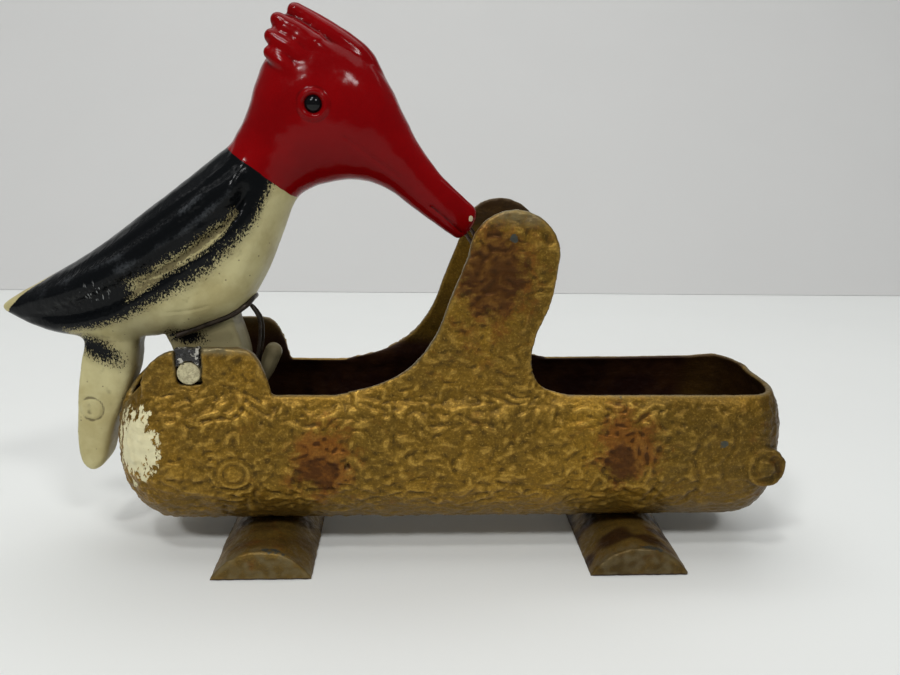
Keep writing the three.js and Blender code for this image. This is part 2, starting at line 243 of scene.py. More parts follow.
def remeshed(name, mesh, voxel):
    """A new object whose mesh is the outside of all the shells, in even faces."""
    piece = bpy.data.objects.new(name, mesh)
    scene.collection.objects.link(piece)
    even = piece.modifiers.new("even", "REMESH")
    even.mode = "VOXEL"
    even.voxel_size = voxel * MM
    done = bpy.data.meshes.new_from_object(piece.evaluated_get(bpy.context.evaluated_depsgraph_get()))
    piece.modifiers.clear()
    piece.data = done
    done.name = name
    return piece


def get_points(piece):
    flat = np.empty(len(piece.data.vertices) * 3)
    piece.data.vertices.foreach_get("co", flat)
    return flat.reshape(-1, 3) / MM


def set_points(piece, points):
    piece.data.vertices.foreach_set("co", (points * MM).ravel())
    piece.data.update()


def get_normals(piece):
    flat = np.empty(len(piece.data.vertices) * 3)
    piece.data.vertex_normals.foreach_get("vector", flat)
    return flat.reshape(-1, 3)


def get_edges(piece):
    flat = np.empty(len(piece.data.edges) * 2, int)
    piece.data.edges.foreach_get("vertices", flat)
    return flat.reshape(-1, 2)


def neighbour_mean(values, edges):
    a, b = edges.T
    count = np.bincount(a, minlength=len(values)) + np.bincount(b, minlength=len(values))
    columns = []
    for column in np.atleast_2d(values.T):
        total = np.bincount(a, weights=column[b], minlength=len(values))
        total += np.bincount(b, weights=column[a], minlength=len(values))
        columns.append(total / count)
    return np.array(columns).T.reshape(values.shape)


def relaxed(points, edges, steps, weight=None, shrink=False):
    """Smoothed points. Every step pulls in, then pushes back out unless it may shrink."""
    weight = 1 if weight is None else weight[:, None]
    for _ in range(steps):
        for pull in (0.5,) if shrink else (0.5, -0.52):
            points = points + pull * weight * (neighbour_mean(points, edges) - points)
    return points


def write_attribute(piece, name, values):
    layer = piece.data.attributes.new(name, "FLOAT", "POINT")
    layer.data.foreach_set("value", np.asarray(values, np.float32))


def write_hollows(piece, points, edges):
    """The attribute hollow: above 0 in creases, below 0 on edges."""
    steps = 3
    bend = ((neighbour_mean(points, edges) - points) * get_normals(piece)).sum(1)
    for _ in range(steps):
        bend = 0.5 * bend + 0.5 * neighbour_mean(bend, edges)
    write_attribute(piece, "hollow", bend / np.std(bend))


def finish_piece(piece, body, paint, replaces):
    piece.data.materials.clear()
    piece.data.materials.append(paint)
    piece.data.polygons.foreach_set("use_smooth", [True] * len(piece.data.polygons))
    if body:
        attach(piece, body)
    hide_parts(*replaces)
    return piece


# ---------------------------------------------------------------- materials


class Paint:
    """A material made of nodes, which places its patterns by the object's own coordinates."""

    def __init__(self, name):
        self.material = bpy.data.materials.new(name)
        self.material.use_nodes = True
        self.tree = self.material.node_tree
        self.shader = self.tree.nodes["Principled BSDF"]
        self.place = self.tree.nodes.new("ShaderNodeTexCoord").outputs["Object"]

    def node(self, kind, inputs, out=0, **settings):
        made = self.tree.nodes.new("ShaderNode" + kind)
        for key, value in settings.items():
            setattr(made, key, value)
        for key, value in inputs.items():
            self.put(made.inputs[key], value)
        return made.outputs[out]

    def put(self, socket, value):
        if isinstance(value, bpy.types.NodeSocket):
            self.tree.links.new(value, socket)
        else:
            socket.default_value = value

    def calc(self, operation, a, b=0.0, c=0.0):
        return self.node("Math", {0: a, 1: b, 2: c}, operation=operation)

    def stretch(self, x, y, z):
        return self.node("VectorMath", {0: self.place, 1: (x, y, z)}, operation="MULTIPLY")

    def grain(self, size, detail=3.0, rough=0.55, place=None, twist=0.0):
        """Noise from 0 to 1 whose lumps are about size millimetres across."""
        inputs = {"Vector": place or self.place, "Scale": 0.6 / (size * MM), "Detail": detail,
                  "Roughness": rough, "Distortion": twist}
        return self.node("TexNoise", inputs)

    def cells(self, size):
        """Distance from scattered dots that are about size millimetres apart."""
        return self.node("TexVoronoi", {"Vector": self.place, "Scale": 1 / (size * MM)})

    def spread(self, value, reach, low=0.2, high=0.8):
        """Noise turned into an amount from -reach to reach."""
        return self.between(value, low, high, -reach, reach)

    def value(self, name):
        """One of the mesh's own attributes."""
        return self.node("Attribute", {}, out="Fac", attribute_name=name)

    def between(self, value, low, high, start=0.0, end=1.0):
        """start below low, end above high, and a smooth change from one to the other."""
        inputs = {"Value": value, "From Min": low, "From Max": high, "To Min": start, "To Max": end}
        return self.node("MapRange", inputs, interpolation_type="SMOOTHSTEP")

    def mix(self, share, a, b, blend="MIX"):
        a, b = (v if isinstance(v, bpy.types.NodeSocket) else (*v, 1.0) for v in (a, b))
        return self.node("Mix", {0: share, 6: a, 7: b}, out=2, data_type="RGBA", blend_type=blend)

    def bump(self, height, distance, strength=1.0, normal=None):
        inputs = {"Height": height, "Distance": distance * MM, "Strength": strength}
        if normal:
            inputs["Normal"] = normal
        return self.node("Bump", inputs)

    def done(self, **values):
        for key, value in values.items():
            if key == "Base_Color" and not isinstance(value, bpy.types.NodeSocket):
                value = (*value, 1.0)
            self.put(self.shader.inputs[key.replace("_", " ")], value)
        return self.material


def bronze_paint():
    """Gold-brown metallic paint, brighter on the bark's crests and edges with dry-brushed gold and a painted
    highlight, and darker in its creases.
    """
    p = Paint("bronze paint")
    relief = p.value("relief")
    hollow = p.value("hollow")
    patch = p.grain(14, 4)
    fine = p.grain(0.7, 5, 0.65)
    soft = p.grain(3.2, 4, 0.6, twist=0.6)
    powder = p.grain(0.32, 3, 0.7)
    gold = p.mix(p.between(patch, 0.38, 0.66), (0.190, 0.104, 0.010), (0.310, 0.166, 0.014))
    gold = p.mix(p.between(soft, 0.35, 0.7, 0, 0.45), gold, (0.160, 0.096, 0.016))
    # dry-brushed gold and a painted highlight on the crests and edges, and darker in the creases
    gold = p.mix(p.between(relief, 0.0, 0.5, 0, 0.48), gold, (0.500, 0.290, 0.042))
    gold = p.mix(p.between(hollow, 0.4, 3.0, 0, 0.75), gold, (0.060, 0.034, 0.006))
    gold = p.mix(p.between(hollow, -2.6, -0.7, 0.35, 0), gold, (0.600, 0.370, 0.075))
    gold = p.mix(p.between(powder, 0.42, 0.62, 0, 0.38), gold, (0.075, 0.044, 0.008))
    gold = p.mix(p.between(powder, 0.30, 0.44, 0.35, 0), gold, (0.700, 0.440, 0.090))
    # painted shade: greyer and darker underneath, and over the whole of each foot
    low_shade = p.calc("MULTIPLY", p.value("low_shade"), p.between(p.grain(6, 4), 0.2, 0.6, 0.5, 1))
    gold = p.mix(p.calc("MULTIPLY", low_shade, 0.55), gold, (0.140, 0.098, 0.034))
    # red-brown stains with a darker middle
    blotch = p.calc("ADD", p.value("stain"), p.spread(p.grain(2.4, 5, 0.7), 0.55))
    blotch = p.between(blotch, 0.2, 0.95)
    depth = p.calc("ADD", p.value("maroon"), p.spread(p.grain(1.5, 5, 0.7), 0.6))
    stain = p.mix(p.between(depth, 0.35, 1.35), (0.250, 0.084, 0.010), (0.052, 0.009, 0.002))
    # a painted highlight on the stains' ridges, and darker in their creases
    stain = p.mix(p.between(relief, -0.1, 0.45, 0, 0.5), stain, (0.300, 0.125, 0.020))
    stain = p.mix(p.between(hollow, 0.4, 2.2, 0, 0.8), stain, (0.022, 0.004, 0.001))
    stain = p.mix(p.between(powder, 0.34, 0.62, 0.0, 0.4), stain, (0.110, 0.040, 0.008))
    colour = p.mix(p.calc("MULTIPLY", blotch, 0.88), gold, stain)
    dull = p.calc("MULTIPLY", p.value("dull"), p.between(soft, 0.25, 0.6, 0.75, 1.1))
    colour = p.mix(dull, colour, (0.030, 0.019, 0.004))
    # rubbed edges, and small chips down to the grey metal
    worn = p.calc("MULTIPLY", p.value("worn"), p.between(p.grain(2.2, 4, 0.7), 0.35, 0.62, 0.4, 1.0))
    colour = p.mix(worn, colour, p.mix(powder, (0.130, 0.110, 0.060), (0.290, 0.235, 0.120)))
    spots = p.calc("ADD", p.value("blue"), p.spread(p.grain(0.8, 3), 0.3))
    colour = p.mix(p.between(spots, 0.5, 0.8, 0, 0.8), colour, (0.050, 0.068, 0.066))
    # a dark stain and painted shade: inside the trough, on the ear's and far branch's inner faces, and over
    # the feet
    dark_stain_and_shade = p.value("dark_stain_and_shade")
    shade = p.mix(p.between(p.grain(4, 4), 0.35, 0.7), (0.013, 0.0026, 0.0008), (0.030, 0.010, 0.002))
    colour = p.mix(p.between(dark_stain_and_shade, 0.1, 0.9), colour, shade)
    # cream brushed over the bark, torn at its outline
    torn = p.spread(p.grain(1.1, 4, 0.7, p.stretch(1, 1, 0.45)), 0.55)
    cream = p.value("cream")
    spill = p.calc("ADD", cream, p.calc("MULTIPLY", torn, p.between(cream, 0.02, 0.3)))
    spill = p.between(spill, 0.40, 0.48)
    colour = p.mix(spill, colour, p.mix(p.grain(1.5, 4), (0.62, 0.55, 0.30), (0.90, 0.85, 0.56)))
    rough = p.between(fine, 0.3, 0.75, 0.34, 0.56)
    rough = p.calc("ADD", rough, p.calc("MULTIPLY", dark_stain_and_shade, 0.1))
    metal = p.calc("MULTIPLY", p.calc("SUBTRACT", 1.0, spill), p.between(dark_stain_and_shade, 0, 1, 0.6, 0.1))
    low = p.bump(soft, 0.35, 0.55)
    crumple = p.bump(p.grain(1.3, 5, 0.6, p.stretch(0.6, 1, 1.3), 1.2), 0.3, 0.6, low)
    normal = p.bump(powder, 0.05, 0.5, p.bump(fine, 0.09, 0.6, crumple))
    return p.done(Base_Color=colour, Roughness=rough, Metallic=metal, Normal=normal, Specular_IOR_Level=0.25)


def bird_paint():
    """Cream enamel, with black sprayed over it and a crisp red over both."""
    p = Paint("bird enamels")
    hollow = p.value("hollow")
    strokes = p.grain(0.22, 3, 0.75, p.stretch(1, 1, 0.6))
    mottle = p.grain(5, 4, 0.6)
    fine = p.grain(0.6, 4)
    cream = p.mix(p.between(mottle, 0.35, 0.7), (0.60, 0.545, 0.285), (0.47, 0.405, 0.190))
    # darker in the creases
    crease_dark = p.calc("ADD", hollow, p.spread(p.grain(1.4, 4), 1))
    cream = p.mix(p.calc("MULTIPLY", p.between(crease_dark, 0.4, 2.6), 0.75), cream, (0.105, 0.082, 0.040))
    # painted shade on the lower belly and on the far toe inside the ear
    cream = p.mix(p.calc("MULTIPLY", p.value("painted_shade"), 0.8), cream, (0.150, 0.120, 0.070))
    specks = p.between(p.cells(2.4), 0.07, 0.11, 0.65, 0)
    cream = p.mix(specks, cream, (0.12, 0.09, 0.05))
    # a brown mist of overspray outside the black, whose edge breaks up into specks
    mist = p.between(p.value("black"), -3.2, 0.6, 0, 0.65)
    mist = p.calc("MULTIPLY", mist, p.between(p.grain(2.0, 4), 0.3, 0.7, 0.4, 1))
    cream = p.mix(mist, cream, (0.16, 0.125, 0.055))
    edge = p.calc("ADD", p.value("black"), p.spread(strokes, 1.9, 0.25, 0.75))
    black_share = p.between(edge, -0.25, 0.25)
    # a painted highlight, with grey dust and wear, on the feathers' ridges
    dust_and_highlight = p.between(p.calc("MULTIPLY", p.grain(0.4, 4, 0.75), p.value("ridge_dust_and_highlight")), 0.25, 0.8, 0, 0.2)
    black = p.mix(dust_and_highlight, (0.0040, 0.0046, 0.0052), (0.20, 0.215, 0.23))
    colour = p.mix(black_share, cream, black)
    nicks = p.between(p.grain(0.30, 2, 0.5, p.stretch(1, 0.3, 0.22)), 0.60, 0.64, 0, 0.8)
    colour = p.mix(p.calc("MULTIPLY", p.value("scratch"), nicks), colour, (0.40, 0.41, 0.40))
    line = p.calc("ADD", p.value("red"), p.spread(p.grain(2.2, 3), 0.12))
    red_share = p.between(line, -0.05, 0.05)
    red = p.mix(p.between(p.grain(9, 3), 0.3, 0.7), (0.225, 0.0012, 0.0022), (0.180, 0.0010, 0.0020))
    red = p.mix(p.between(hollow, 0.6, 2.8, 0, 0.75), red, (0.045, 0.0012, 0.0016))
    colour = p.mix(red_share, colour, red)
    colour = p.mix(p.between(p.value("chip"), 0.45, 0.55), colour, (0.60, 0.54, 0.36))
    rough = p.mix(black_share, (0.36, 0.36, 0.36), (0.17, 0.17, 0.17))
    rough = p.mix(red_share, rough, (0.13, 0.13, 0.13))
    rough = p.calc("ADD", p.node("RGBToBW", {0: rough}), p.between(fine, 0.3, 0.8, -0.02, 0.07))
    broad = p.bump(p.grain(2.6, 3, 0.5), 0.10, 0.55)
    pores = p.bump(p.grain(0.45, 3), 0.05, p.between(line, -0.1, 0.1, 0.8, 0.2), broad)
    step = p.bump(p.calc("MAXIMUM", black_share, red_share), 0.07, 0.7, pores)
    return p.done(Base_Color=colour, Roughness=rough, Normal=step, Specular_IOR_Level=0.12)


def simple_paint(name, light, dark, size, rough, metal=0.0, bump=0.05, chips=None, level=0.5):
    """Two tones in patches, duller and darker in the hollows, with fine pitting."""
    p = Paint(name)
    patch = p.grain(size, 5, 0.65)
    colour = p.mix(p.between(patch, 0.35, 0.68), light, dark)
    colour = p.mix(p.between(p.value("hollow"), 0.2, 2.5, 0, 0.7), colour, tuple(0.25 * c for c in dark))
    metalness = metal
    if chips:
        chip = p.between(p.grain(1.0, 4, 0.7), chips[0], chips[0] + 0.03)
        colour = p.mix(chip, colour, chips[1])
        metalness = p.calc("MULTIPLY", p.calc("SUBTRACT", 1.0, chip), metal)
    gloss = p.between(p.grain(size * 0.4, 4), 0.3, 0.75, rough[0], rough[1])
    normal = p.bump(p.grain(size * 0.22, 4), bump, 0.7)
    return p.done(Base_Color=colour, Roughness=gloss, Metallic=metalness, Normal=normal,
                  Specular_IOR_Level=level)


def stage_paint(name, colour, rough):
    p = Paint(name)
    tone = p.mix(p.between(p.grain(60, 3), 0.3, 0.7), tuple(0.985 * c for c in colour), colour)
    return p.done(Base_Color=tone, Roughness=rough)


BRONZE = bronze_paint()
ENAMEL = bird_paint()
FILLER = simple_paint("black filler", (0.010, 0.009, 0.009), (0.022, 0.020, 0.018), 1.5, (0.16, 0.5),
                      0.0, 0.35, (0.56, (0.46, 0.44, 0.38)))
CREAM = simple_paint("rough cream", (0.66, 0.60, 0.36), (0.36, 0.31, 0.18), 0.9, (0.45, 0.7), 0.0, 0.45,
                     (0.66, (0.10, 0.08, 0.05)))
BEAD = simple_paint("eye black", (0.003, 0.003, 0.004), (0.005, 0.005, 0.005), 3.0, (0.06, 0.10), 0.0, 0.004,
                    level=0.25)
SPRING = simple_paint("spring steel", (0.055, 0.040, 0.028), (0.018, 0.012, 0.008), 1.4, (0.3, 0.55),
                      0.6, 0.06)
PIN = simple_paint("darkened pin steel", (0.10, 0.07, 0.05), (0.03, 0.018, 0.012), 1.2, (0.25, 0.45),
                   0.8, 0.02)
RIVET = simple_paint("rivet steel", (0.16, 0.12, 0.07), (0.07, 0.05, 0.03), 1.5, (0.3, 0.5), 0.8, 0.08)

# ---------------------------------------------------------------- the log


def oval(x, z, centre, half, turn=0.0):
    """Distance from the centre of an oval, 1 at its outline."""
    a = math.radians(turn)
    along = (x - centre[0]) * math.cos(a) + (z - centre[1]) * math.sin(a)
    over = (z - centre[1]) * math.cos(a) - (x - centre[0]) * math.sin(a)
    return np.sqrt((along / half[0]) ** 2 + (over / half[1]) ** 2)


def bark(points):
    """Crumpled plates that run mostly along the log, parted by thin creases: about -0.5 to 0.5."""
    warp = np.stack([noise(points / 9, 11), noise(points / 9, 12), noise(points / 9, 13)], 1)
    bent = points + 2.4 * warp
    fine_warp = np.stack([noise(bent / 2.6, 14), noise(bent / 2.6, 15), noise(bent / 2.6, 16)], 1)
    bent = bent + 1.1 * fine_warp
    plates = np.abs(noise(bent / (5.2, 3.2, 2.7), 17)) ** 0.8
    scales = np.abs(noise(bent / (2.7, 1.9, 1.5), 18)) ** 0.8
    crests = ridges(bent / (5.5, 3.0, 2.4), 20) ** 3
    swell = noise(bent / (9, 5, 4), 19)
    return 1.0 * plates + 0.80 * scales + 0.55 * crests + 0.30 * swell - 0.68


# Marks by x and z in millimetres. A knot: on the near side or not, centre, half sizes, turn.
KNOTS = [(True, (-19.6, 22.8), (6.0, 4.6), 24), (True, (51.4, 25.4), (4.2, 5.0), 10),
         (False, (8.0, 21.5), (6.4, 4.6), -20), (False, (-36.0, 27.0), (5.0, 4.4), 30),
         (False, (63.0, 24.0), (4.6, 4.2), 0)]
# A cut branch: on the near side or not, centre.
CUT_BRANCHES = [(True, (-38.3, 23.4)), (False, (36.0, 24.0))]
# A crease on the near side: its line, depth and width.
CREASES = [
    ([(-41.5, 19.8), (-38.0, 19.2), (-34.6, 20.6)], 0.30, 0.45),
    ([(-45.2, 36.2), (-41.5, 36.9), (-38.2, 36.7), (-36.4, 38.0), (-35.4, 40.4)], 0.42, 0.5),
    ([(57.5, 14.0), (59.8, 17.5), (60.4, 21.0), (59.0, 25.0), (60.0, 29.0), (62.5, 32.0)], 0.24, 0.7),
    ([(67.0, 14.0), (70.2, 18.0), (70.2, 22.5), (68.6, 27.0), (70.2, 31.5), (73.4, 35.0)], 0.24, 0.7),
    ([(78.6, 18.0), (76.2, 22.0), (75.8, 26.0), (78.2, 30.0), (78.4, 35.0)], 0.22, 0.6),
    ([(54.5, 20.5), (55.8, 25.0), (55.0, 31.0)], 0.30, 0.4),
    ([(56.6, 20.8), (57.9, 25.0), (57.2, 30.0)], 0.30, 0.4),
]
HOLE = (-12.5, 25.3)
DIMPLE = (-52, 24)


def ragged(points):
    """What makes the outline of a knot or a stain uneven."""
    return 0.22 * noise(points / 2.6, 31) + 0.16 * noise(points / 1.1, 33)


def knot_marks(points, near):
    """Peeled knots: bare, streaked wood with a lip, a furrow below it, and a stain round it all.

    Gives their relief, how much of the bark is left, the stain, and the stain's dark middle."""
    x, z = points[:, 0], points[:, 2]
    relief, stain, dark = np.zeros((3, len(x)))
    left = np.ones(len(x))
    for is_near, centre, half, turn in KNOTS:
        side = near if is_near else ~near
        reach = oval(x, z, centre, half, turn) + ragged(points)
        halo = oval(x, z, (centre[0] + 1.5, centre[1] + 3.6), (7.2, 8.8))
        bent = (x - centre[0]) * 0.8 + (z - centre[1]) * 1.25 + 1.2 * noise(points / 3.2, 32)
        streaks = np.sin(bent * 2.6) * (0.6 + 0.4 * noise(points / 1.6, 34))
        bare = smooth(1.05, 0.7, reach)
        below = smooth(centre[1] + 1.5, centre[1] - 2.5, z + 0.35 * (x - centre[0]))
        furrow = bell(reach - 0.9, 0.12) * below
        lip = bell(reach - 1.08, 0.16) * (1 - 0.5 * below)
        relief += np.where(side, -0.25 * bare + 0.30 * lip + 0.24 * streaks * bare - 0.55 * furrow, 0)
        left = np.where(side, left * (1 - 0.55 * bare), left)
        stain = np.maximum(stain, np.where(side, 1.5 * bell(halo, 0.95), 0))
        dark = np.maximum(dark, np.where(side, 1.2 * smooth(1.7, 0.6, reach), 0))
    return relief, left, stain, dark


def cut_branch_marks(points, near):
    """A ring round a disc where a branch was cut: its relief, and how much of the bark is left."""
    x, z = points[:, 0], points[:, 2]
    relief = np.zeros(len(x))
    left = np.ones(len(x))
    for is_near, centre in CUT_BRANCHES:
        side = near if is_near else ~near
        reach = oval(x, z, centre, (1, 1))
        ring = 0.26 * bell(reach - 3.35, 0.6) + 0.22 * smooth(2.3, 1.6, reach)
        ring -= 0.30 * bell(reach - 4.25, 0.45) + 0.26 * bell(reach - 2.5, 0.35)
        relief += np.where(side, ring, 0)
        left = np.where(side, left * (1 - 0.85 * smooth(4.6, 3.9, reach)), left)
    return relief, left


def crease_marks(points):
    """The relief of the creases in the near side, a pinhole, and a dimple in the left end."""
    x, z = points[:, 0], points[:, 2]
    face = np.stack([x, z], 1)
    relief = np.zeros(len(x))
    for line, depth, width in CREASES:
        gap = line_distance(face, line)
        relief += 0.5 * depth * bell(gap - 1.7 * width, width) - depth * bell(gap, width)
    relief -= 0.9 * smooth(0.8, 0.3, oval(x, z, HOLE, (1, 1)))
    return relief + 0.5 * bell(oval(x, z, DIMPLE, (1, 1)), 2.2)


def branch_stains(points, near):
    """The stains on the two standing branches, and the dark middle of the near one."""
    x, z = points[:, 0], points[:, 2]
    reach = oval(x, z, (20.4, 70.0), (7.6, 10.0), -8) + 0.5 * ragged(points)
    stain = np.where(near & (z > 50), 1.5 * bell(reach, 1.15), 0)
    stain = np.maximum(stain, np.where(near, 0.42 * bell(oval(x, z, (17, 57), (9, 12)), 1.0), 0))
    stain = np.maximum(stain, np.where(~near, 0.8 * bell(oval(x, z, (24, 62), (6, 10)), 1.0), 0))
    return stain, np.where(near & (z > 50), 1.6 * smooth(1.5, 0.6, reach), 0)


def rubbed_edges(points, normals, near):
    """Where the bronze is rubbed: branch edges, rims, the ear's top and corner, the branch's top."""
    x, z = points[:, 0], points[:, 2]
    rubbed = smooth(0.85, 0.5, np.abs(normals[:, 1])) * smooth(44, 50, z) * np.where(near, 1.0, 0.4)
    rubbed = np.maximum(rubbed, 0.5 * smooth(RIM - 0.5, RIM + 0.1, z) * smooth(0.6, 0.9, normals[:, 2]))
    rubbed = np.maximum(rubbed, smooth(50.5, 52.3, z) * (x < -28))
    scrape = line_distance(np.stack([x, z], 1), [(-62.5, 45.0), (-63.8, 39.0), (-63.2, 36.5)])
    rubbed = np.maximum(rubbed, 0.8 * bell(scrape, 0.7) * near)
    return np.maximum(rubbed, 0.7 * smooth(79.5, 82.5, z) * near)


def blue_chips(points, near):
    """Three blue-grey chips on the near side."""
    x, z = points[:, 0], points[:, 2]
    blue = smooth(1.35, 0.8, oval(x, z, (24.6, 77.9), (1, 1)))
    blue = np.maximum(blue, 0.7 * smooth(1.6, 0.8, oval(x, z, (75.4, 30.5), (1, 1))))
    blue = np.maximum(blue, 0.5 * smooth(1.2, 0.6, oval(x, z, (49.5, 41.2), (3, 0.8))))
    return np.where(near, blue, 0)


def log_sides(points, normals):
    """How far each point is on the log's outside, and on its inside, from 0 to 1."""
    x, y, z = points.T
    core = np.stack([np.clip(x, -54, 81), np.zeros(len(x)), np.full(len(x), AXIS_HEIGHT)], 1)
    radial = points - core
    radial /= np.maximum(np.linalg.norm(radial, axis=1), 1e-6)[:, None]
    standing = smooth(RIM - 0.6, RIM + 0.8, z)
    facing = (1 - standing) * (normals * radial).sum(1) + standing * normals[:, 1] * np.sign(y)
    return smooth(0.05, 0.5, facing), smooth(0.15, -0.35, facing)


def make_log():
    piece = remeshed("log_shell", merged_mesh("log", [node_shell("log_body")]), 0.5)
    edges = get_edges(piece)
    points = relaxed(get_points(piece), edges, 5)
    x, y, z = points.T
    # the far rim isn't quite level, and rises to a small nub at the right
    lift = np.interp(x, (-30, -20, 20, 60, 78, 85, 90), (-0.2, -0.3, 0.1, 0.45, 0.8, 1.5, 0.8))
    points[:, 2] += lift * smooth(36, 41, z) * smooth(4, 9, y) * (1 - smooth(44, 47, z))
    set_points(piece, points)
    # the branch and the ear grow out of the log without a crease
    branch_foot = smooth(-16, -11, x) * smooth(39, 34, x)
    ear_foot = smooth(-60, -57, x) * smooth(-29, -32, x)
    blend_in = np.maximum(branch_foot, ear_foot) * bell(z - RIM, 2.4)
    blend_in *= smooth(0.4, 0.7, np.abs(get_normals(piece)[:, 1]))
    points = relaxed(points, edges, 60, blend_in, shrink=True)
    set_points(piece, points)
    normals = get_normals(piece)
    x, y, z = points.T
    near = y < 0
    outside, inner = log_sides(points, normals)
    # the bark is lower at the ends, underneath and along the open rims
    size = 0.70 * np.interp(x, (-70, -45, 55, 72, 95), (0.6, 1.0, 1.0, 0.55, 0.45))
    size *= np.interp(z, (4, 12, 20, 42, 46, 85), (0.5, 0.7, 1.0, 1.0, 0.95, 0.85))
    rims = smooth(RIM - 0.2, RIM - 2.2, z) + smooth(RIM + 0.6, RIM + 3.0, z) + branch_foot + ear_foot
    relief = bark(points) * size * np.clip(rims, 0.12, 1)
    relief *= 1 - smooth(46, 52, z) * smooth(0.9, 0.4, np.abs(normals[:, 1]))
    knots, bark_left, stain, maroon = knot_marks(points, near)
    rings, beside_rings = cut_branch_marks(points, near)
    extra = knots + rings + np.where(near, crease_marks(points), 0)
    hole = oval(x, z, HOLE, (1, 1))
    maroon = np.where(near, np.maximum(maroon, 2 * smooth(0.9, 0.4, hole)), maroon)
    branch_stain, branch_dark = branch_stains(points, near)
    stain = np.maximum(stain, branch_stain)
    stain = np.maximum(stain, 0.30 * smooth(80, 88, x) * smooth(-10, -17, y))
    maroon = np.maximum(maroon, branch_dark)
    # thick cream paint brushed down the left end
    cream = bell(oval(x, z, (-60.6, 29.2), (5.0, 8.2), -10), 1.0) * (y < 2)
    height = (relief * bark_left * beside_rings + extra) * outside
    height += 0.10 * (1 - outside) * noise(points / 2.5, 41)
    height += 0.30 * smooth(0.35, 0.7, cream) * outside
    # a dark stain and painted shade inside the trough, on the ear's inner faces and at the top of the far
    # branch's inner face, less towards the right end
    top_inner = 0.6 * inner * smooth(74, 79, z) * (y > 0)
    standing = smooth(43, 52, z)
    dark_stain_and_shade = top_inner + inner * (1 - standing) + 0.55 * inner * standing * (x < -25)
    # duller at the left and right ends and up the branches
    dull = 0.10 * smooth(-30, -50, x) + 0.28 * smooth(35, 75, x) + 0.30 * smooth(83, 89, x)
    dull += np.where(near, 0.18, 0.32) * smooth(44, 50, z) + 0.45 * inner * smooth(72, 78, z) * (y > 0)
    write_attribute(piece, "relief", height)
    write_attribute(piece, "stain", stain * outside)
    write_attribute(piece, "maroon", maroon)
    write_attribute(piece, "worn", rubbed_edges(points, normals, near))
    write_attribute(piece, "blue", blue_chips(points, near))
    write_attribute(piece, "cream", cream * outside)
    write_attribute(piece, "dark_stain_and_shade", dark_stain_and_shade * (1 - 0.3 * smooth(70, 80, x)))
    # painted shade: darker and greyer towards the log's bottom
    write_attribute(piece, "low_shade", smooth(19, 9, z) * outside)
    write_attribute(piece, "dull", np.clip(dull, 0, 0.8))
    points = relaxed(points + height[:, None] * normals, edges, 1)
    set_points(piece, points)
    write_hollows(piece, points, edges)
    finish_piece(piece, "log", BRONZE, ["log_body"])


def make_foot(node):
    piece = remeshed(node + "_shell", merged_mesh(node, [node_shell(node)]), 0.42)
    edges = get_edges(piece)
    points = relaxed(get_points(piece), edges, 6)
    set_points(piece, points)
    normals = get_normals(piece)
    x, y, z = points.T
    upper = smooth(0.0, 0.5, normals[:, 2])
    height = 0.24 * noise(points / (5, 9, 3), 51) * upper + 0.11 * noise(points / 1.6, 52)
    chips = ridges(points / (3.5, 2.0, 3.0), 53) ** 4
    height -= 0.18 * chips * smooth(0.55, 0.1, np.abs(normals[:, 2]))
    points = points + height[:, None] * normals
    points[:, 2] = np.maximum(points[:, 2], 0)
    set_points(piece, points)
    reach = np.abs(y)
    end = smooth(23.8, 25.2, reach)
    low, high = corners(node)
    right = 1.0 if low[0] > 0 else 0.0
    dark = smooth(0.2, 0.8, noise(points / (7, 5, 5), 54) + 0.45)
    rubbed = smooth(0.2, 0.8, noise(points / 2.2, 55) + 0.5)
    chip = oval(x, y, (low[0] + 0.62 * (high[0] - low[0]), low[1] + 1.2), (4.0, 1.3))
    # a painted shadow of the log across the top, in patches, painted shade all over and more on the right
    # foot, and painted shade on the underside
    dark_stain_and_shade = (0.3 + 0.12 * right) * dark * smooth(24.8, 21, reach) + 0.22 + 0.12 * right
    dark_stain_and_shade += 0.9 * smooth(-0.2, -0.8, normals[:, 2])
    write_attribute(piece, "relief", height + 0.14 * end)
    write_attribute(piece, "stain", 0.25 * dark)
    write_attribute(piece, "maroon", np.zeros(len(x)))
    write_attribute(piece, "worn", 0.55 * smooth(21.5, 24, reach) * rubbed)
    write_attribute(piece, "blue", 0.75 * smooth(1.3, 0.5, chip) * (z > 2.5))
    write_attribute(piece, "cream", np.zeros(len(x)))
    write_attribute(piece, "dark_stain_and_shade", dark_stain_and_shade)
    # painted shade over the whole foot
    write_attribute(piece, "low_shade", np.ones(len(x)))
    write_attribute(piece, "dull", (0.25 + 0.30 * right) * end)
    write_hollows(piece, points, edges)
    finish_piece(piece, "log", BRONZE, [node])


# ---------------------------------------------------------------- the bird, about its pivot

